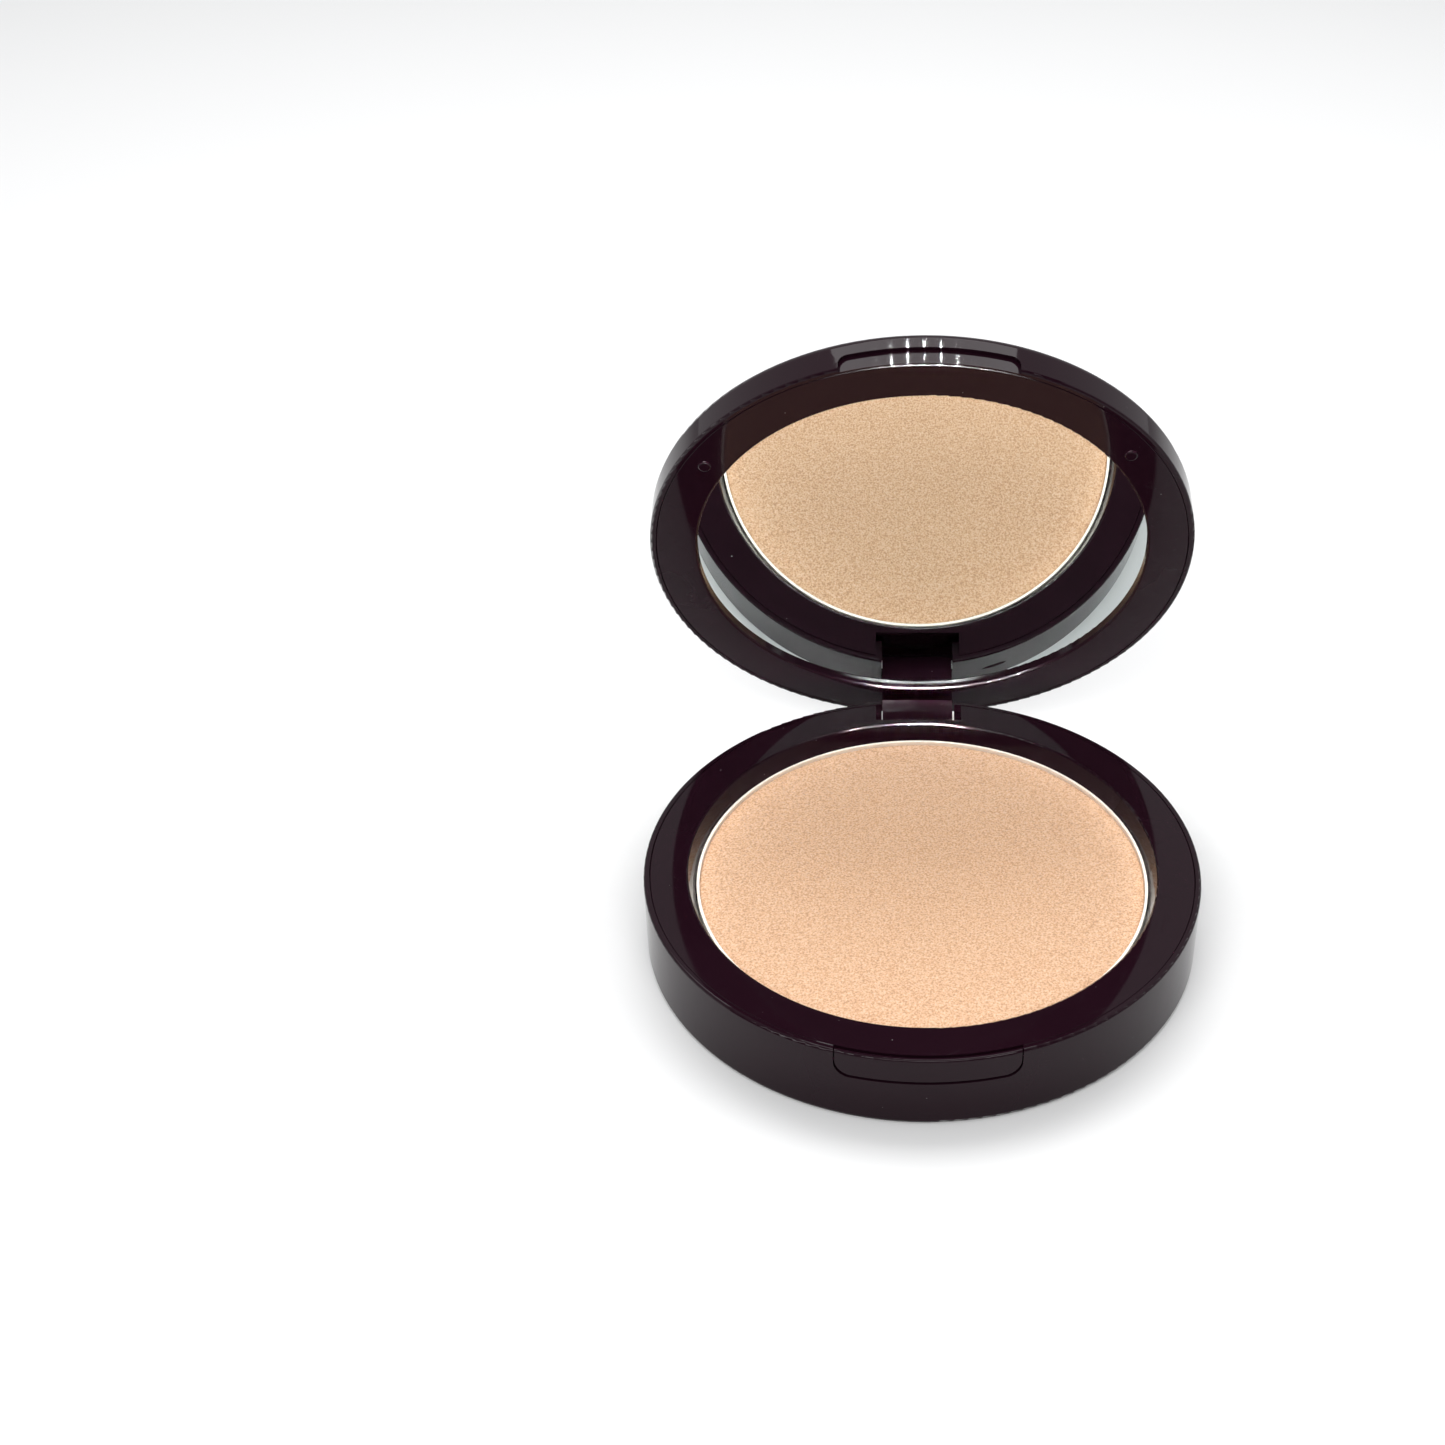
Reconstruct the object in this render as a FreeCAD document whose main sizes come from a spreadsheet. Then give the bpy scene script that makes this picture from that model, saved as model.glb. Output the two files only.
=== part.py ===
"""Round powder compact, open: base, tray, pan, powder, latch button, hinge, and lid with mirror.

Millimetres.  +Z is up, the origin is the centre of the base's flat underside, -Y is the front
where the thumb presses the latch button, and +Y is the back where the hinge is.  The lid's pieces
are drawn in the closed position and then turned open about the hinge pin.
"""
import FreeCAD, Part
import math
import os
import Sketcher

DRIVING_SIZES = [
    # base shell
    ("outer_radius", 36.25, "radius of base and lid"),
    ("base_height", 10.65, "underside to deck"),
    ("foot_round", 0.8, "round under the base"),
    ("edge_round", 0.35, "round on the rims"),
    ("rim_width", 0.75, "rim of the shell that shows beside the deck"),
    ("shell_wall", 1.9, "wall of both shells below the rim"),
    ("floor_thickness", 1.4, "floor of the base shell"),
    ("support_radius", 15.0, "ring that carries the tray"),
    ("support_wall", 1.2, "wall of that ring"),
    ("foot_groove_radius", 30.5, "groove in the underside"),
    ("foot_groove_width", 0.8, "width of that groove"),
    ("foot_groove_depth", 0.3, "depth of that groove"),
    # tray
    ("deck_thickness", 1.2, "flange of the tray"),
    ("recess_radius", 30.55, "inner edge of the deck"),
    ("recess_round", 0.3, "round on that edge"),
    ("tray_wall", 0.7, "wall of the well"),
    ("well_gap", 0.15, "pan to the well's wall"),
    ("well_floor_top", 4.3, "height of the well's floor"),
    ("well_floor", 1.0, "thickness of the well's floor"),
    ("seat_gap", 0.05, "gap round an insert in its shell"),
    ("groove_chamfer", 0.12, "chamfer that makes the fine groove round an insert"),
    # pan and powder
    ("pan_radius", 29.5, "outside of the pan"),
    ("pan_wall", 0.35, "sheet of the pan"),
    ("pan_top", 8.37, "height of the pan's rim"),
    ("pan_corner", 0.8, "bend between the pan's wall and floor"),
    ("powder_drop", 0.35, "powder below the pan's rim"),
    ("powder_edge", 0.12, "round on the powder's edge"),
    ("powder_gap", 0.02, "powder to pan"),
    ("glue_thickness", 0.15, "glue spot under the pan"),
    ("glue_radius", 9.0, "glue spot under the pan"),
    # latch button
    ("button_half_width", 11.1, "half the width of the button"),
    ("button_side_gap", 0.15, "button to window at each side"),
    ("button_slot", 0.35, "slot under the button"),
    ("button_drop", 3.5, "button's lower edge below the deck"),
    ("button_setback", 0.05, "button's face behind the shell's face"),
    ("button_lip", 0.55, "thickness of the button's upper lip"),
    ("button_top_gap", 0.05, "button's top below the deck"),
    ("button_play", 0.15, "button under the deck's flange"),
    ("button_corner", 1.9, "round of the button's lower corners"),
    ("button_travel_gap", 0.4, "space that the lip moves into"),
    ("wing_thickness", 0.95, "wings that hold the button behind the wall"),
    ("wing_reach", 1.3, "wings past each side of the button"),
    ("wing_drop", 1.1, "wings below the button's face"),
    # button spring
    ("spring_sheet", 0.2, "leaf spring's sheet"),
    ("spring_bow_radius", 12.3, "outside of the bow"),
    ("spring_front", 33.25, "bow's crown from the base's axis"),
    ("spring_half_width", 7.5, "half the spring's length"),
    ("spring_bottom", 6.6, "lower edge of the spring"),
    ("spring_width", 2.2, "width of the strip"),
    # hinge
    ("hinge_y", 34.3, "hinge axis behind the centre"),
    ("hinge_z", 4.9, "hinge axis above the underside"),
    ("pin_radius", 0.6, "hinge pin"),
    ("pin_left", 8.2, "pin's closed end from the middle"),
    ("pin_right", 9.0, "pin's open end from the middle"),
    ("pin_press_gap", 0.01, "pin in the ears"),
    ("pin_running_gap", 0.05, "pin in the lug"),
    ("slot_half_width", 5.2, "hinge slot in the base shell"),
    ("notch_half_width", 6.1, "hinge notch in the tray's deck"),
    ("slot_bottom", 2.6, "floor of the hinge slot"),
    ("ear_half_width", 11.0, "block beside the slot"),
    ("ear_front", 31.85, "front face of that block"),
    ("ear_back", 34.2, "where that block is inside the wall"),
    ("ear_top", 8.2, "top of that block"),
    ("lug_half_width", 5.1, "lug on the lid"),
    ("lug_radius", 1.4, "round end of the lug"),
    ("lug_gap", 0.1, "lug to mirror frame"),
    ("open_angle", 71.9, "lid from closed to the open rest position"),
    # lid
    ("lid_gap", 0.3, "lid above the deck when closed"),
    ("lid_height", 5.0, "lip to top"),
    ("lid_top", 1.3, "thickness of the lid's top"),
    ("lid_top_round", 1.3, "round on the lid's top edge"),
    ("lip_round", 0.35, "round on the lid's lip"),
    ("grip_height", 2.2, "thumb recess above the lip"),
    ("grip_depth", 0.5, "depth of that recess"),
    ("grip_corner", 1.1, "round of its upper corners"),
    ("frame_thickness", 0.8, "mirror frame's face"),
    ("mirror_opening", 30.0, "radius of the frame's opening"),
    ("frame_collar", 0.7, "collar round the mirror"),
    ("frame_collar_height", 1.3, "height of that collar"),
    ("mirror_radius", 31.4, "mirror glass"),
    ("mirror_gap", 0.1, "mirror to collar"),
    ("mirror_thickness", 1.5, "mirror glass"),
    ("pad_radius", 27.0, "foam pad behind the mirror"),
    ("pip_radius", 0.85, "stand-off pip on the frame"),
    ("pip_height", 0.25, "stand-off pip on the frame"),
    ("pip_round", 0.2, "round on the pip"),
    ("left_pip_x", 28.1, "left pip from the middle"),
    ("left_pip_y", 17.2, "left pip in front of the middle"),
    ("right_pip_x", 25.9, "right pip from the middle"),
    ("right_pip_y", 19.8, "right pip in front of the middle"),
]

LIP = "base_height + lid_gap"
FRAME_BACK = "base_height + lid_gap + frame_thickness"
LID_INSIDE = "base_height + lid_gap + lid_height - lid_top"

document = FreeCAD.newDocument("powder_compact")
sheet = document.addObject("Spreadsheet::Sheet", "Sizes")
size = {}
for row, (alias, amount, meaning) in enumerate(DRIVING_SIZES, start=1):
    sheet.set(f"A{row}", meaning)
    sheet.set(f"B{row}", str(amount))
    sheet.setAlias(f"B{row}", alias)
    size[alias] = amount
document.recompute()
nodes = []


# ---------------------------------------------------------------- sums of sizes

def bound(text):
    """A sum of sizes, such as 'base_height - lid_top', as an expression on the sheet."""
    return " ".join(f"Sizes.{word}" if word in size else word for word in text.split())


def total(text):
    """The same sum as a number, for a sketch's first shape."""
    result = 0.0
    for term in text.replace("- ", "+ -").split("+ "):
        word = term.strip()
        if not word:
            continue
        sign = -1.0 if word.startswith("-") else 1.0
        name = word.lstrip("-")
        result += sign * (size[name] if name in size else float(name))
    return result


def minus(text):
    """The negative of a sum that only adds."""
    return "0 - " + text.replace("+", "-")


# ---------------------------------------------------------------- sketches

def new_body(label, placement=None):
    body = document.addObject("PartDesign::Body", label)
    body.Label = label
    if placement is not None:
        body.Placement = placement
    nodes.append(body)
    return body


def new_sketch(body, name, plane, offset="0"):
    """A sketch on one of the body's own origin planes, moved along the plane's normal."""
    sketch = body.newObject("Sketcher::SketchObject", name)
    support = next(item for item in body.Origin.OriginFeatures if item.Role == plane)
    sketch.AttachmentSupport = [(support, "")]
    sketch.MapMode = "FlatFace"
    sketch.AttachmentOffset = FreeCAD.Placement(FreeCAD.Vector(0, 0, total(offset)), FreeCAD.Rotation())
    sketch.setExpression("AttachmentOffset.Base.z", bound(offset))
    return sketch


def drive(sketch, kind, geometry, expression):
    """Add a constraint whose amount is a sum of sizes."""
    index = sketch.addConstraint(Sketcher.Constraint(kind, *geometry, total(expression)))
    sketch.setExpression(f"Constraints[{index}]", bound(expression))


def place_point(sketch, geometry, point, across, up):
    """Fix one point of a sketch at two sums of sizes from the sketch's origin."""
    for kind, expression, axis in (("DistanceX", across, -2), ("DistanceY", up, -1)):
        if expression == "0":
            sketch.addConstraint(Sketcher.Constraint("PointOnObject", geometry, point, axis))
        else:
            drive(sketch, kind, (-1, 1, geometry, point), expression)


def draw_polygon(sketch, corners):
    """A closed outline of straight lines through corners given as pairs of sums."""
    points = [FreeCAD.Vector(total(across), total(up), 0) for across, up in corners]
    count = len(points)
    for index in range(count):
        sketch.addGeometry(Part.LineSegment(points[index], points[(index + 1) % count]), False)
    for index in range(count):
        sketch.addConstraint(Sketcher.Constraint("Coincident", index, 2, (index + 1) % count, 1))
    for index, (across, up) in enumerate(corners):
        place_point(sketch, index, 1, across, up)


def draw_rectangle(sketch, half_width, low, high):
    """A rectangle between two heights, centred on the sketch's upright axis."""
    draw_polygon(sketch, [
        (minus(half_width), low), (half_width, low), (half_width, high), (minus(half_width), high),
    ])


def draw_circle(sketch, across, up, radius):
    centre = FreeCAD.Vector(total(across), total(up), 0)
    circle = Part.Circle(centre, FreeCAD.Vector(0, 0, 1), total(radius))
    index = sketch.addGeometry(circle, False)
    place_point(sketch, index, 3, across, up)
    drive(sketch, "Radius", (index,), radius)


def draw_front_band(sketch, half_width, inner, outer, centre="0"):
    """The part of a ring in front of its centre, between two lines at plus and minus half_width."""
    reach = total(half_width)
    middle = FreeCAD.Vector(0, total(centre), 0)
    ends = []
    for radius in (inner, outer):
        arc_radius = total(radius)
        spread = math.asin(reach / arc_radius)
        circle = Part.Circle(middle, FreeCAD.Vector(0, 0, 1), arc_radius)
        arc = Part.ArcOfCircle(circle, 1.5 * math.pi - spread, 1.5 * math.pi + spread)
        sketch.addGeometry(arc, False)
        ends.append((arc.StartPoint, arc.EndPoint))
    sketch.addGeometry(Part.LineSegment(ends[0][0], ends[1][0]), False)
    sketch.addGeometry(Part.LineSegment(ends[0][1], ends[1][1]), False)
    for line, arc_end in ((2, 1), (3, 2)):
        sketch.addConstraint(Sketcher.Constraint("Coincident", line, 1, 0, arc_end))
        sketch.addConstraint(Sketcher.Constraint("Coincident", line, 2, 1, arc_end))
        sketch.addConstraint(Sketcher.Constraint("Vertical", line))
    place_point(sketch, 0, 3, "0", centre)
    sketch.addConstraint(Sketcher.Constraint("Coincident", 1, 3, 0, 3))
    drive(sketch, "Radius", (0,), inner)
    drive(sketch, "Radius", (1,), outer)
    drive(sketch, "DistanceX", (-1, 1, 2, 1), minus(half_width))
    drive(sketch, "DistanceX", (-1, 1, 3, 1), half_width)


# ---------------------------------------------------------------- features

def revolve(body, name, corners):
    """Turn an outline of (radius, height) corners round the Z axis."""
    sketch = new_sketch(body, f"{name}_outline", "XZ_Plane")
    draw_polygon(sketch, corners)
    feature = body.newObject("PartDesign::Revolution", name)
    feature.Profile = sketch
    feature.ReferenceAxis = (sketch, ["V_Axis"])
    feature.Angle = 360
    document.recompute()
    return feature


def pad(body, sketch, length, symmetric=False, reverse=False):
    feature = body.newObject("PartDesign::Pad", f"{sketch.Name}_pad")
    feature.Profile = sketch
    feature.Length = total(length)
    feature.setExpression("Length", bound(length))
    feature.SideType = "Symmetric" if symmetric else "One side"
    feature.Reversed = reverse
    document.recompute()
    return feature


def pocket(body, sketch, length, symmetric=False, reverse=False):
    """Cut a sketch out of the body, and make sure that something was cut."""
    before = body.Shape.Volume
    feature = body.newObject("PartDesign::Pocket", f"{sketch.Name}_pocket")
    feature.Profile = sketch
    feature.Type = "Length"
    feature.Length = total(length)
    feature.setExpression("Length", bound(length))
    feature.SideType = "Symmetric" if symmetric else "One side"
    feature.Reversed = reverse
    document.recompute()
    if body.Shape.Volume > before - 1e-3:
        raise RuntimeError(f"{feature.Name} cut nothing")
    return feature


def near(first, second):
    return abs(first - second) < 1e-3


def ring_edges(shape, radius, height):
    """Round edges about the Z axis with this radius at this height."""
    found = []
    for index, edge in enumerate(shape.Edges, start=1):
        curve = edge.Curve
        if isinstance(curve, Part.Circle) and near(curve.Radius, total(radius)):
            if near(curve.Center.z, total(height)):
                found.append(f"Edge{index}")
    return found


def corner_edges(shape, half_width, height):
    """Straight edges along Y at plus and minus half_width, at this height."""
    found = []
    for index, edge in enumerate(shape.Edges, start=1):
        box = edge.BoundBox
        straight = isinstance(edge.Curve, (Part.Line, Part.LineSegment)) and box.YLength > 0.1
        if straight and box.XLength < 1e-3 and box.ZLength < 1e-3:
            if near(abs(box.XMin), total(half_width)) and near(box.ZMin, total(height)):
                found.append(f"Edge{index}")
    return found


def round_edges(body, name, edges, radius):
    if not edges:
        raise RuntimeError(f"{name} found no edge")
    base = body.Tip
    feature = body.newObject("PartDesign::Fillet", name)
    feature.Base = (base, edges)
    feature.Radius = total(radius)
    feature.setExpression("Radius", bound(radius))
    document.recompute()
    return feature


def round_ring(body, name, radius, height, rounding):
    round_edges(body, name, ring_edges(body.Tip.Shape, radius, height), rounding)


def new_disc(label, radius, thickness, height, placement=FreeCAD.Placement()):
    """A plain round disc whose lower face is at a height."""
    disc = document.addObject("Part::Cylinder", label)
    disc.Label = label
    disc.setExpression("Radius", bound(radius))
    disc.setExpression("Height", bound(thickness))
    lift = FreeCAD.Placement(FreeCAD.Vector(0, 0, total(height)), FreeCAD.Rotation())
    disc.Placement = placement.multiply(lift)
    nodes.append(disc)
    return disc


# ---------------------------------------------------------------- base

def make_base_shell():
    body = new_body("base_shell")
    ledge = "base_height - deck_thickness"
    inside = "outer_radius - shell_wall"
    revolve(body, "shell", [
        ("0", "0"), ("outer_radius", "0"), ("outer_radius", "base_height"),
        ("outer_radius - rim_width", "base_height"), ("outer_radius - rim_width", ledge),
        (inside, ledge), (inside, "floor_thickness"), ("0", "floor_thickness"),
    ])
    round_ring(body, "foot_edge", "outer_radius", "0", "foot_round")
    round_ring(body, "rim_edge", "outer_radius", "base_height", "edge_round")

    support = new_sketch(body, "support_ring", "XY_Plane", "floor_thickness")
    draw_circle(support, "0", "0", "support_radius")
    draw_circle(support, "0", "0", "support_radius - support_wall")
    pad(body, support, "well_floor_top - well_floor - floor_thickness")

    groove = new_sketch(body, "foot_groove", "XY_Plane")
    draw_circle(groove, "0", "0", "foot_groove_radius + foot_groove_width")
    draw_circle(groove, "0", "0", "foot_groove_radius")
    pocket(body, groove, "foot_groove_depth", reverse=True)

    block = new_sketch(body, "hinge_block", "XY_Plane", "floor_thickness")
    draw_rectangle(block, "ear_half_width", "ear_front", "ear_back")
    pad(body, block, "ear_top - floor_thickness")

    slot = new_sketch(body, "hinge_slot", "XY_Plane", "base_height")
    draw_rectangle(slot, "slot_half_width", "recess_radius", "outer_radius + shell_wall")
    pocket(body, slot, "base_height - slot_bottom")

    bore = new_sketch(body, "pin_bore", "YZ_Plane", "0 - pin_left")
    draw_circle(bore, "hinge_y", "hinge_z", "pin_radius + pin_press_gap")
    pocket(body, bore, "outer_radius", reverse=True)

    window = new_sketch(body, "button_window", "XZ_Plane")
    side = "button_half_width + button_side_gap"
    sill = "base_height - button_drop - button_slot"
    draw_rectangle(window, side, sill, "base_height + lid_gap")
    pocket(body, window, "outer_radius + shell_wall", reverse=True)
    round_edges(body, "window_corners", corner_edges(body.Tip.Shape, side, sill), "button_corner")


def make_inner_tray():
    body = new_body("inner_tray")
    ledge = "base_height - deck_thickness"
    rim = "outer_radius - rim_width - seat_gap"
    skirt = "recess_radius + tray_wall"
    well = "pan_radius + well_gap"
    revolve(body, "tray", [
        ("0", "well_floor_top - well_floor"), (skirt, "well_floor_top - well_floor"),
        (skirt, ledge), (rim, ledge),
        (rim, "base_height - groove_chamfer"), (f"{rim} - groove_chamfer", "base_height"),
        ("recess_radius", "base_height"), (well, "pan_top - powder_drop"),
        (well, "well_floor_top"), ("0", "well_floor_top"),
    ])
    round_ring(body, "recess_edge", "recess_radius", "base_height", "recess_round")

    notch = new_sketch(body, "hinge_notch", "XY_Plane", "base_height")
    draw_rectangle(notch, "notch_half_width", f"{skirt} + lug_gap", "outer_radius")
    pocket(body, notch, "deck_thickness")

    relief = new_sketch(body, "button_relief", "XY_Plane", "base_height")
    lip_back = "outer_radius - button_setback - button_lip"
    draw_front_band(relief, "button_half_width + button_side_gap",
                    f"{lip_back} - button_travel_gap", "outer_radius")
    pocket(body, relief, "deck_thickness")


def make_powder_pan():
    body = new_body("powder_pan")
    bottom = "well_floor_top + glue_thickness"
    bore = "pan_radius - pan_wall"
    revolve(body, "pan", [
        ("0", bottom), ("pan_radius", bottom), ("pan_radius", "pan_top"), (bore, "pan_top"),
        (bore, f"{bottom} + pan_wall"), ("0", f"{bottom} + pan_wall"),
    ])
    round_ring(body, "outer_bend", "pan_radius", bottom, "pan_corner")
    round_ring(body, "inner_bend", bore, f"{bottom} + pan_wall", "pan_corner - pan_wall")
    new_disc("pan_glue", "glue_radius", "glue_thickness", "well_floor_top")


def make_powder_cake():
    body = new_body("powder_cake")
    bottom = "well_floor_top + glue_thickness + pan_wall + powder_gap"
    side = "pan_radius - pan_wall - powder_gap"
    revolve(body, "cake", [
        ("0", bottom), (side, bottom), (side, "pan_top - powder_drop"), ("0", "pan_top - powder_drop"),
    ])
    round_ring(body, "lower_edge", side, bottom, "pan_corner - pan_wall")
    round_ring(body, "upper_edge", side, "pan_top - powder_drop", "powder_edge")


# ---------------------------------------------------------------- latch button

def make_latch_button():
    body = new_body("latch_button")
    face = "outer_radius - button_setback"
    wall_inside = "outer_radius - shell_wall - seat_gap"
    shoulder = "base_height - deck_thickness - button_play"
    bottom = "base_height - button_drop"
    wing_bottom = f"{bottom} - wing_drop"

    plate = new_sketch(body, "plate", "XY_Plane", bottom)
    draw_front_band(plate, "button_half_width", f"{wall_inside} - wing_thickness", face)
    pad(body, plate, "button_drop - deck_thickness - button_play")
    round_edges(body, "plate_corners", corner_edges(body.Tip.Shape, "button_half_width", bottom),
                "button_corner")

    wings = new_sketch(body, "wings", "XY_Plane", wing_bottom)
    draw_front_band(wings, "button_half_width + wing_reach",
                    f"{wall_inside} - wing_thickness", wall_inside)
    pad(body, wings, "button_drop - deck_thickness - button_play + wing_drop")

    lip = new_sketch(body, "lip", "XY_Plane", shoulder)
    draw_front_band(lip, "button_half_width", f"{face} - button_lip", face)
    pad(body, lip, "deck_thickness + button_play - button_top_gap")
    round_ring(body, "lip_edge", face, "base_height - button_top_gap", "edge_round - button_top_gap")


def make_button_spring():
    body = new_body("button_spring")
    strip = new_sketch(body, "strip", "XY_Plane", "spring_bottom")
    inside = "spring_bow_radius - spring_sheet"
    draw_front_band(strip, "spring_half_width", inside, "spring_bow_radius",
                    "spring_bow_radius - spring_front")
    pad(body, strip, "spring_width")


# ---------------------------------------------------------------- lid, drawn closed

def make_lid_shell(opened):
    body = new_body("lid_shell", opened)
    top = f"{LIP} + lid_height"
    inside = "outer_radius - shell_wall"
    revolve(body, "lid", [
        ("0", LID_INSIDE), (inside, LID_INSIDE), (inside, FRAME_BACK),
        ("outer_radius - rim_width", FRAME_BACK), ("outer_radius - rim_width", LIP),
        ("outer_radius", LIP), ("outer_radius", top), ("0", top),
    ])
    round_ring(body, "top_edge", "outer_radius", top, "lid_top_round")
    round_ring(body, "lip_edge", "outer_radius", LIP, "lip_round")

    grip = new_sketch(body, "grip", "XY_Plane", LIP)
    draw_front_band(grip, "button_half_width", "outer_radius - grip_depth",
                    "outer_radius + rim_width")
    pocket(body, grip, "grip_height", reverse=True)
    corners = corner_edges(body.Tip.Shape, "button_half_width", f"{LIP} + grip_height")
    round_edges(body, "grip_corners", corners, "grip_corner")

    arm = new_sketch(body, "lug_arm", "YZ_Plane")
    draw_polygon(arm, [
        ("hinge_y - lug_radius", "hinge_z"), ("hinge_y + lug_radius", "hinge_z"),
        ("hinge_y + lug_radius", LID_INSIDE), ("hinge_y - lug_radius", LID_INSIDE),
    ])
    pad(body, arm, "lug_half_width + lug_half_width", symmetric=True)
    barrel = new_sketch(body, "lug_barrel", "YZ_Plane")
    draw_circle(barrel, "hinge_y", "hinge_z", "lug_radius")
    pad(body, barrel, "lug_half_width + lug_half_width", symmetric=True)
    bore = new_sketch(body, "lug_bore", "YZ_Plane")
    draw_circle(bore, "hinge_y", "hinge_z", "pin_radius + pin_running_gap")
    pocket(body, bore, "slot_half_width + slot_half_width", symmetric=True)


def make_mirror_frame(opened):
    body = new_body("mirror_frame", opened)
    rim = "outer_radius - rim_width - seat_gap"
    collar = "mirror_radius + mirror_gap"
    collar_top = f"{FRAME_BACK} + frame_collar_height"
    revolve(body, "frame", [
        ("mirror_opening", LIP), (f"{rim} - groove_chamfer", LIP), (rim, f"{LIP} + groove_chamfer"),
        (rim, FRAME_BACK), (f"{collar} + frame_collar", FRAME_BACK),
        (f"{collar} + frame_collar", collar_top), (collar, collar_top), (collar, FRAME_BACK),
        ("mirror_opening", FRAME_BACK),
    ])
    round_ring(body, "opening_edge", "mirror_opening", LIP, "recess_round")

    notch = new_sketch(body, "lug_notch", "XY_Plane", FRAME_BACK)
    front = "hinge_y - lug_radius - lug_gap"
    draw_rectangle(notch, "lug_half_width + lug_gap", front, "outer_radius")
    pocket(body, notch, "frame_thickness")

    pips = new_sketch(body, "pips", "XY_Plane", LIP)
    draw_circle(pips, "0 - left_pip_x", "0 - left_pip_y", "pip_radius")
    draw_circle(pips, "right_pip_x", "0 - right_pip_y", "pip_radius")
    pad(body, pips, "pip_height", reverse=True)
    round_ring(body, "pip_edges", "pip_radius", f"{LIP} - pip_height", "pip_round")


def make_lid_inserts(opened):
    mirror_back = f"{FRAME_BACK} + mirror_thickness"
    new_disc("mirror_glass", "mirror_radius", "mirror_thickness", FRAME_BACK, opened)
    pad_thickness = "lid_height - lid_top - frame_thickness - mirror_thickness"
    new_disc("mirror_pad", "pad_radius", pad_thickness, mirror_back, opened)


def make_hinge_pin():
    pin = document.addObject("Part::Cylinder", "hinge_pin")
    pin.Label = "hinge_pin"
    pin.setExpression("Radius", bound("pin_radius"))
    pin.setExpression("Height", bound("pin_left + pin_right"))
    pin.Placement = FreeCAD.Placement(
        FreeCAD.Vector(-size["pin_left"], size["hinge_y"], size["hinge_z"]),
        FreeCAD.Rotation(FreeCAD.Vector(0, 1, 0), 90))
    nodes.append(pin)


# ---------------------------------------------------------------- build, check and write

def lid_opened():
    """Turn from closed to open: the lid's front goes up and back about the hinge pin."""
    turn = FreeCAD.Rotation(FreeCAD.Vector(-1, 0, 0), size["open_angle"])
    axis = FreeCAD.Vector(0, size["hinge_y"], size["hinge_z"])
    return FreeCAD.Placement(FreeCAD.Vector(), turn, axis)


def check_document():
    for item in document.Objects:
        if "Invalid" in item.State or "Error" in item.State:
            raise RuntimeError(f"{item.Name} failed: {item.State}")
    for node in nodes:
        if node.Shape.isNull() or not node.Shape.isValid() or len(node.Shape.Solids) != 1:
            raise RuntimeError(f"{node.Label} is not one valid solid")


def main():
    make_base_shell()
    make_inner_tray()
    make_powder_pan()
    make_powder_cake()
    make_latch_button()
    make_button_spring()
    make_hinge_pin()
    opened = lid_opened()
    make_lid_shell(opened)
    make_mirror_frame(opened)
    make_lid_inserts(opened)
    document.recompute()
    check_document()
    os.makedirs("parts", exist_ok=True)
    for node in nodes:
        node.Shape.exportStep(f"parts/{node.Label}.step")
        box = node.Shape.BoundBox
        print(f"{node.Label}: {node.Shape.Volume:.1f} mm3, z {box.ZMin:.2f} to {box.ZMax:.2f}")


main()
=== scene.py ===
"""Looks for the powder compact: materials, the pressed powder's surface, light, floor and camera.

Metres, in the frame of the CAD: +Z up, -Y the front with the latch button, +Y the hinge.
"""

import math

import bmesh
import bpy
from mathutils import Matrix, Vector, noise


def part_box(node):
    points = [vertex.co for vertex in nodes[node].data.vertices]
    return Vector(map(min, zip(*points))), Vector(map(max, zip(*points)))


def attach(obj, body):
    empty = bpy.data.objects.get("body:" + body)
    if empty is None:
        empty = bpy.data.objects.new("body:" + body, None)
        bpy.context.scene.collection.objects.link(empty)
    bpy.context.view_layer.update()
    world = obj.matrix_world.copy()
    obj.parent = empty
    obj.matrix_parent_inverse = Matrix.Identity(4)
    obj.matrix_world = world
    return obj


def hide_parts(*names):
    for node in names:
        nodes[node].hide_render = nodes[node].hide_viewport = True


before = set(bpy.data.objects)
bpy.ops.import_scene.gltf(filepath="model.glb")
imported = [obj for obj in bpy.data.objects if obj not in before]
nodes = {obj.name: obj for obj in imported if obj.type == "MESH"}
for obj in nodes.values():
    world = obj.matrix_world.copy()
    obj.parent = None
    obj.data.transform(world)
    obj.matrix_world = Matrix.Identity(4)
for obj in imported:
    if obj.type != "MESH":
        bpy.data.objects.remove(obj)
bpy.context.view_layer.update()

MM = 0.001


# ---------------------------------------------------------------- material helpers

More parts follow.
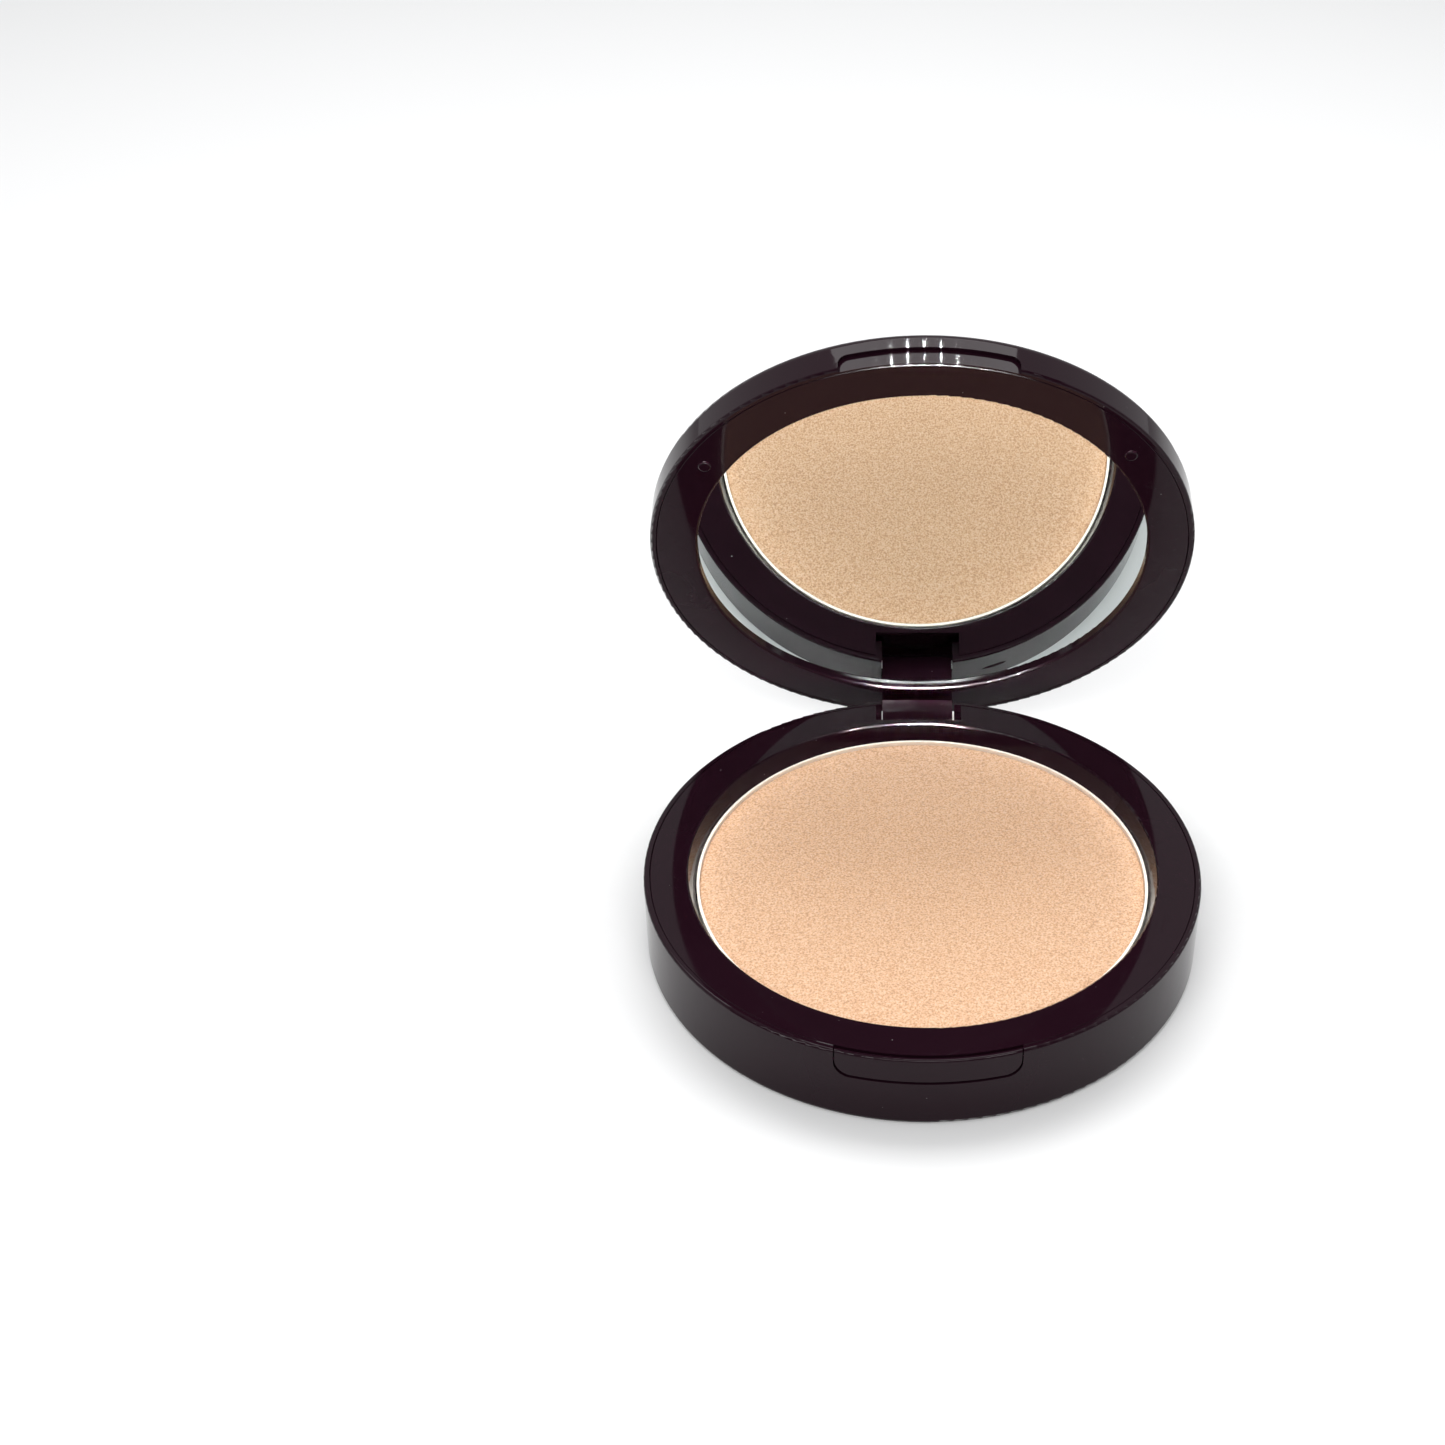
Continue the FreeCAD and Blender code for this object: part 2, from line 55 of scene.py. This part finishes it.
class Paint:
    """A material's node tree, with short calls for the nodes that the finishes share."""

    def __init__(self, name):
        self.material = bpy.data.materials.new(name)
        self.material.use_nodes = True
        self.tree = self.material.node_tree
        self.shader = self.tree.nodes["Principled BSDF"]
        self.place = self.add("ShaderNodeTexCoord").outputs["Object"]

    def add(self, kind, **settings):
        node = self.tree.nodes.new(kind)
        for name, value in settings.items():
            setattr(node, name, value)
        return node

    def link(self, source, socket):
        self.tree.links.new(source, socket)

    def feed(self, socket, value):
        """Put a number, a colour or another node's output into a socket."""
        if isinstance(value, bpy.types.NodeSocket):
            self.link(value, socket)
        else:
            socket.default_value = value

    def math(self, operation, first, second):
        node = self.add("ShaderNodeMath", operation=operation)
        self.feed(node.inputs[0], first)
        self.feed(node.inputs[1], second)
        return node.outputs[0]

    def scaled(self, place, sizes):
        """A place divided by these sizes in metres, so that a pattern of scale 1 fits them."""
        mapping = self.add("ShaderNodeMapping")
        self.link(place, mapping.inputs["Vector"])
        mapping.inputs["Scale"].default_value = [1.0 / size for size in sizes]
        return mapping.outputs[0]

    def noise(self, size, detail=2.0, roughness=0.5, stretch=(1, 1, 1), place=None):
        """Noise between 0 and 1 whose blobs are about this many metres across."""
        node = self.add("ShaderNodeTexNoise")
        sizes = [size * ratio for ratio in stretch]
        self.link(self.scaled(place or self.place, sizes), node.inputs["Vector"])
        node.inputs["Scale"].default_value = 1.0
        node.inputs["Detail"].default_value = detail
        node.inputs["Roughness"].default_value = roughness
        return node.outputs["Fac"]

    def cells(self, size, output="Distance"):
        """Loose cells of about this many metres: the distance to each middle, or a colour for each."""
        node = self.add("ShaderNodeTexVoronoi")
        self.link(self.scaled(self.place, [size] * 3), node.inputs["Vector"])
        node.inputs["Scale"].default_value = 1.0
        return node.outputs[output]

    def vector(self, operation, *values):
        node = self.add("ShaderNodeVectorMath", operation=operation)
        for socket, value in zip(node.inputs, values):
            self.feed(socket, value)
        return node.outputs[0]

    def span(self, value, low, high, to_low=0.0, to_high=1.0):
        """Map a range of values to another, and stay inside it."""
        node = self.add("ShaderNodeMapRange")
        self.link(value, node.inputs["Value"])
        for name, amount in (("From Min", low), ("From Max", high), ("To Min", to_low), ("To Max", to_high)):
            node.inputs[name].default_value = amount
        return node.outputs["Result"]

    def mix(self, factor, first, second):
        """One colour turning into another as the factor goes from 0 to 1."""
        node = self.add("ShaderNodeMix", data_type="RGBA")
        self.feed(node.inputs[0], factor)
        self.feed(node.inputs[6], first)
        self.feed(node.inputs[7], second)
        return node.outputs[2]

    def bump(self, height, depth, normal=None):
        """Bump whose height of 1 stands this many metres proud."""
        node = self.add("ShaderNodeBump")
        node.inputs["Strength"].default_value = 1.0
        node.inputs["Distance"].default_value = depth
        self.link(height, node.inputs["Height"])
        if normal is not None:
            self.link(normal, node.inputs["Normal"])
        return node.outputs[0]

    def set(self, **sockets):
        """Fill the shader's sockets, named with _ for a space, and give back the finished material."""
        for name, value in sockets.items():
            self.feed(self.shader.inputs[name.replace("_", " ")], value)
        return self.material


def colour(red, green, blue):
    return (red, green, blue, 1.0)


def grey(tone):
    return colour(tone, tone, tone)


def wear(obj, material):
    obj.data.materials.clear()
    obj.data.materials.append(material)


# ---------------------------------------------------------------- finishes

def plum_plastic():
    """Injection-moulded gloss plastic with faint flow waves, hairline scratches and a little dust."""
    paint = Paint("plum_plastic")
    cloud = paint.noise(9 * MM, detail=3)
    deep, fresh = colour(0.0110, 0.0030, 0.0064), colour(0.0138, 0.0040, 0.0080)
    body = paint.mix(cloud, deep, fresh)

    flow_depth, hairline_depth = 0.0015 * MM, 0.0012 * MM
    hairline_turns = (0.3, 1.25, 2.4)
    hairline_width = 0.09 * MM
    flow = paint.bump(paint.noise(5 * MM, detail=1), flow_depth)
    scratches = None
    for turn in hairline_turns:
        rotate = paint.add("ShaderNodeVectorRotate", rotation_type="EULER_XYZ")
        paint.link(paint.place, rotate.inputs["Vector"])
        rotate.inputs["Rotation"].default_value = (turn * 0.7, turn * 0.4, turn)
        streak = paint.noise(hairline_width, detail=0, stretch=(1, 130, 20), place=rotate.outputs[0])
        patch = paint.noise(3.5 * MM, detail=1, place=rotate.outputs[0])
        line = paint.math("MULTIPLY", paint.span(streak, 0.74, 0.80), paint.span(patch, 0.50, 0.62))
        scratches = line if scratches is None else paint.math("MAXIMUM", scratches, line)
    hairlines = paint.bump(scratches, -hairline_depth, normal=flow)

    dust_cover, dust_roughness = 0.35, 0.4
    clean, smeared = 0.030, 0.065
    speck = paint.cells(1.9 * MM)
    chance = paint.noise(2.6 * MM, detail=0)
    dust = paint.math("MULTIPLY", paint.span(speck, 0.050, 0.030), paint.span(chance, 0.56, 0.60))
    dusty = paint.mix(paint.math("MULTIPLY", dust, dust_cover), body, colour(0.30, 0.27, 0.27))
    smear = paint.span(paint.noise(7 * MM, detail=4, roughness=0.6), 0.35, 0.75, clean, smeared)
    rough = paint.math("ADD", smear, paint.math("MULTIPLY", dust, dust_roughness))
    paint.shader.inputs["IOR"].default_value = 1.24
    return paint.set(Base_Color=dusty, Roughness=rough, Normal=hairlines)


def pressed_powder():
    """Fine pressed powder with a satin shimmer: mottled grain and tiny tilted flakes."""
    paint = Paint("pressed_powder")
    grain_size, flake_size = 0.26 * MM, 0.25 * MM
    grain_depth = 0.035 * MM
    flake_tilt = 0.42
    warm, light = colour(0.570, 0.275, 0.125), colour(0.680, 0.370, 0.190)
    pale_grain, dark_grain = colour(0.95, 0.73, 0.54), colour(0.45, 0.26, 0.16)

    grain = paint.noise(grain_size, detail=3, roughness=0.65)
    mottle = paint.noise(1.6 * MM, detail=3)
    drift = paint.noise(14 * MM, detail=1)
    base = paint.mix(paint.span(mottle, 0.3, 0.7, 0.35, 0.65), warm, light)
    base = paint.mix(paint.span(drift, 0.3, 0.7, 0.0, 0.25), base, light)
    base = paint.mix(paint.span(grain, 0.38, 0.66, 0.0, 0.60), base, pale_grain)
    dark = paint.span(paint.noise(grain_size, detail=1), 0.46, 0.28, 0.0, 0.60)
    base = paint.mix(dark, base, dark_grain)

    flakes = paint.cells(flake_size, output="Color")
    tilt = paint.vector("MULTIPLY_ADD", flakes, [flake_tilt] * 3, [-flake_tilt / 2] * 3)
    lean = paint.vector("ADD", paint.bump(grain, grain_depth), tilt)
    facing = paint.vector("NORMALIZE", lean)
    rough = paint.span(paint.noise(0.3 * MM), 0.3, 0.7, 0.38, 0.55)
    paint.shader.inputs["Specular IOR Level"].default_value = 0.35
    paint.shader.inputs["Sheen Weight"].default_value = 0.75
    paint.shader.inputs["Sheen Roughness"].default_value = 0.35
    return paint.set(Base_Color=base, Roughness=rough, Normal=facing)


def pan_metal():
    """Drawn aluminium sheet, dusted with powder."""
    paint = Paint("pan_aluminium")
    lines = paint.noise(0.12 * MM, detail=2, stretch=(6, 6, 1))
    tone = paint.mix(lines, colour(0.90, 0.80, 0.68), colour(0.97, 0.93, 0.87))
    rough = paint.span(paint.noise(0.6 * MM), 0.3, 0.7, 0.40, 0.52)
    paint.shader.inputs["Metallic"].default_value = 0.35
    return paint.set(Base_Color=tone, Roughness=rough, Normal=paint.bump(lines, 0.003 * MM))


def silvered_glass():
    """Mirror: bright silver behind clear glass with the faint green of float glass."""
    paint = Paint("mirror")
    film = paint.noise(11 * MM, detail=4)
    rough = paint.span(film, 0.55, 0.85, 0.0, 0.012)
    tone = paint.mix(film, colour(0.855, 0.92, 0.905), colour(0.88, 0.94, 0.925))
    paint.shader.inputs["Metallic"].default_value = 1.0
    return paint.set(Base_Color=tone, Roughness=rough)


def drawn_steel(name, stretch):
    """Bright steel with fine drawing lines along one or two directions."""
    paint = Paint(name)
    lines = paint.noise(0.05 * MM, detail=2, stretch=stretch)
    tone = paint.mix(lines, colour(0.50, 0.49, 0.48), colour(0.66, 0.65, 0.64))
    rough = paint.span(lines, 0.3, 0.7, 0.22, 0.36)
    paint.shader.inputs["Metallic"].default_value = 1.0
    return paint.set(Base_Color=tone, Roughness=rough, Normal=paint.bump(lines, 0.002 * MM))


def foam_tape():
    """Pale open-pored foam."""
    paint = Paint("foam")
    pores = paint.cells(0.35 * MM)
    tone = paint.mix(paint.span(pores, 0.1, 0.6), colour(0.55, 0.54, 0.52), colour(0.86, 0.85, 0.83))
    return paint.set(Base_Color=tone, Roughness=0.85, Normal=paint.bump(pores, 0.08 * MM))


def glue_spot():
    """Yellowish glue that set with a rippled skin."""
    paint = Paint("glue")
    ripple = paint.noise(1.5 * MM, detail=2)
    tone = paint.mix(ripple, colour(0.72, 0.66, 0.50), colour(0.84, 0.80, 0.66))
    return paint.set(Base_Color=tone, Roughness=0.35, Normal=paint.bump(ripple, 0.03 * MM))


PLUM = plum_plastic()
PLASTIC_NODES = ("base_shell", "inner_tray", "latch_button", "lid_shell", "mirror_frame")
for node in PLASTIC_NODES:
    wear(nodes[node], PLUM)
wear(nodes["powder_pan"], pan_metal())
wear(nodes["mirror_glass"], silvered_glass())
wear(nodes["mirror_pad"], foam_tape())
wear(nodes["pan_glue"], glue_spot())
wear(nodes["hinge_pin"], drawn_steel("pin_steel", (40, 1, 1)))
wear(nodes["button_spring"], drawn_steel("spring_steel", (30, 30, 1)))


# ---------------------------------------------------------------- pressed powder

def powder_surface():
    """The powder as it comes from the press: a worn-off edge, a soft crown and an uneven skin."""
    low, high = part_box("powder_cake")
    radius = high.x
    rings, sectors = 120, 480
    crowding = 1.25
    edge_drop, edge_width = 0.16 * MM, 0.55 * MM
    crown = 0.05 * MM
    grain = 0.006 * MM
    fine, broad = 0.6 * MM, 6 * MM
    shape = bmesh.new()

    def skin(distance, angle):
        """The point of the powder's skin at a distance and angle from its middle."""
        x, y = distance * math.cos(angle), distance * math.sin(angle)
        inward = min((radius - distance) / edge_width, 1.0)
        fall = edge_drop * (1.0 - math.sqrt(max(0.0, 1.0 - (1.0 - inward) ** 2)))
        swell = crown * (distance / radius) ** 2
        rough = noise.noise(Vector((x, y, 0.0)) / fine) * grain
        rough += noise.noise(Vector((x, y, 0.1)) / broad) * grain
        return Vector((x, y, high.z - fall - swell + rough - grain))

    previous = None
    centre = shape.verts.new(skin(0.0, 0.0))
    for ring in range(1, rings + 1):
        distance = radius * (1.0 - (1.0 - ring / rings) ** crowding)
        circle = [shape.verts.new(skin(distance, math.tau * s / sectors)) for s in range(sectors)]
        for s in range(sectors):
            after = (s + 1) % sectors
            if previous is None:
                shape.faces.new((centre, circle[s], circle[after]))
            else:
                shape.faces.new((previous[s], circle[s], circle[after], previous[after]))
        previous = circle
    below = [shape.verts.new((vert.co.x, vert.co.y, low.z)) for vert in previous]
    for s in range(sectors):
        after = (s + 1) % sectors
        shape.faces.new((previous[s], below[s], below[after], previous[after]))
    shape.faces.new(list(reversed(below)))
    for face in shape.faces:
        face.smooth = True

    mesh = bpy.data.meshes.new("pressed_powder")
    shape.to_mesh(mesh)
    shape.free()
    powder = bpy.data.objects.new("pressed_powder", mesh)
    bpy.context.scene.collection.objects.link(powder)
    wear(powder, pressed_powder())
    return powder


powder = powder_surface()
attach(powder, "base")
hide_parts("powder_cake")
wear(nodes["powder_cake"], powder.data.materials[0])


# ---------------------------------------------------------------- floor, light and camera

def stage_sheet(name, corners, material):
    """A flat sheet of the studio, which isn't part of the compact."""
    mesh = bpy.data.meshes.new(name)
    mesh.from_pydata([Vector(corner) for corner in corners], [], [tuple(range(len(corners)))])
    sheet = bpy.data.objects.new(name, mesh)
    bpy.context.scene.collection.objects.link(sheet)
    wear(sheet, material)
    return sheet


def plain(name, tone):
    """Matt white board, very slightly uneven."""
    paint = Paint(name)
    shade = paint.mix(paint.noise(80 * MM), grey(tone), grey(tone * 1.01))
    return paint.set(Base_Color=shade, Roughness=0.9, Specular_IOR_Level=0.0)


def white_floor():
    half = 1.5
    corners = [(-half, -half, 0), (half, -half, 0), (half, half, 0), (-half, half, 0)]
    stage_sheet("floor", corners, plain("floor_white", 0.82))


def front_card():
    """A low grey card in front, which is seen only in the gloss of the deck and in the mirror."""
    half, foot, top = 0.35, -0.27, -0.28
    height = 0.045
    corners = [(-half, foot, 0), (half, foot, 0), (half, top, height), (-half, top, height)]
    card = stage_sheet("front_card", corners, plain("card_white", 0.55))
    card.visible_camera = False
    card.visible_diffuse = False
    card.visible_shadow = False


def world_light():
    """A pale tent that is bright above and behind, and dark on the front side."""
    dark, bright, backdrop = 0.06, 0.85, 0.95
    dark_to, bright_from = -0.55, 0.05
    world = bpy.data.worlds.new("tent")
    bpy.context.scene.world = world
    world.use_nodes = True
    tree = world.node_tree
    background = tree.nodes["Background"]
    where = tree.nodes.new("ShaderNodeTexCoord")
    split = tree.nodes.new("ShaderNodeSeparateXYZ")
    tree.links.new(where.outputs["Generated"], split.inputs[0])
    ramp = tree.nodes.new("ShaderNodeMapRange")
    tree.links.new(split.outputs["Y"], ramp.inputs["Value"])
    ramp.inputs["From Min"].default_value = dark_to
    ramp.inputs["From Max"].default_value = bright_from
    ramp.inputs["To Min"].default_value = dark
    ramp.inputs["To Max"].default_value = bright
    seen = tree.nodes.new("ShaderNodeLightPath")
    pick = tree.nodes.new("ShaderNodeMix")
    pick.data_type = "FLOAT"
    tree.links.new(seen.outputs["Is Camera Ray"], pick.inputs[0])
    tree.links.new(ramp.outputs["Result"], pick.inputs[2])
    pick.inputs[3].default_value = backdrop
    tree.links.new(pick.outputs[0], background.inputs["Strength"])
    background.inputs["Color"].default_value = colour(0.98, 0.99, 1.0)


def softbox(name, place, target, size, watts):
    """A rectangular lamp at a place, aimed at a target."""
    light = bpy.data.lights.new(name, "AREA")
    light.shape = "RECTANGLE"
    light.size, light.size_y = size
    light.energy = watts
    lamp = bpy.data.objects.new(name, light)
    bpy.context.scene.collection.objects.link(lamp)
    lamp.location = place
    lamp.rotation_euler = (Vector(target) - Vector(place)).to_track_quat("-Z", "Y").to_euler()


def lamp_row(name, receivers, count, spacing, depth, height, watts, radius):
    """A row of small lamps along X, taken up only by the gloss of the named pieces."""
    shiny = bpy.data.collections.new(name)
    for node in receivers:
        shiny.objects.link(nodes[node])
    for index in range(count):
        light = bpy.data.lights.new(f"{name}_{index}", "POINT")
        light.energy = watts
        light.shadow_soft_size = radius
        lamp = bpy.data.objects.new(f"{name}_{index}", light)
        bpy.context.scene.collection.objects.link(lamp)
        lamp.location = ((index - (count - 1) / 2) * spacing, depth, height)
        lamp.visible_diffuse = False
        lamp.light_linking.receiver_collection = shiny


CAMERA_TARGET = Vector((-0.0789, 10.0, 25.8712)) * MM
CAMERA_DISTANCE = 278.916 * MM
CAMERA_AZIMUTH = math.radians(-1.92421)
CAMERA_ELEVATION = math.radians(36.28717)
CAMERA_ROLL = math.radians(1.35898)
SENSOR_WIDTH_MM = 36.0
FOCAL_LENGTH_MM = 53.41612
SIDEWAYS_SHIFT = -0.1387543


def make_camera():
    """The camera in front of the compact and above it, turned a little about its own axis."""
    back = Vector((math.sin(CAMERA_AZIMUTH) * math.cos(CAMERA_ELEVATION),
                   -math.cos(CAMERA_AZIMUTH) * math.cos(CAMERA_ELEVATION),
                   math.sin(CAMERA_ELEVATION)))
    right = Vector((math.cos(CAMERA_AZIMUTH), math.sin(CAMERA_AZIMUTH), 0))
    up = back.cross(right)
    rolled_right = right * math.cos(CAMERA_ROLL) + up * math.sin(CAMERA_ROLL)
    rolled_up = up * math.cos(CAMERA_ROLL) - right * math.sin(CAMERA_ROLL)
    lens = bpy.data.cameras.new("camera")
    lens.sensor_width = SENSOR_WIDTH_MM
    lens.lens = FOCAL_LENGTH_MM
    lens.shift_x = SIDEWAYS_SHIFT
    lens.clip_start = 0.01
    camera = bpy.data.objects.new("camera", lens)
    bpy.context.scene.collection.objects.link(camera)
    axes = Matrix((rolled_right, rolled_up, back)).transposed().to_4x4()
    camera.matrix_world = Matrix.Translation(CAMERA_TARGET + back * CAMERA_DISTANCE) @ axes
    bpy.context.scene.camera = camera


white_floor()
front_card()
world_light()
softbox("back_softbox", place=(0, 0.23, 0.49), target=(0, 0, 0), size=(0.50, 0.24), watts=1.6)
softbox("front_softbox", place=(-0.05, -0.40, 0.48), target=(0, 0.01, 0.02), size=(0.62, 0.20), watts=2.65)
lamp_row("front_row", ("inner_tray", "mirror_frame"), count=15, spacing=0.035, depth=-0.33, height=0.26,
         watts=80.0, radius=0.0015)
lamp_row("back_row", ("lid_shell",), count=15, spacing=0.036, depth=0.20, height=0.42,
         watts=0.10, radius=0.0005)
make_camera()
bpy.context.scene.view_settings.view_transform = "Standard"
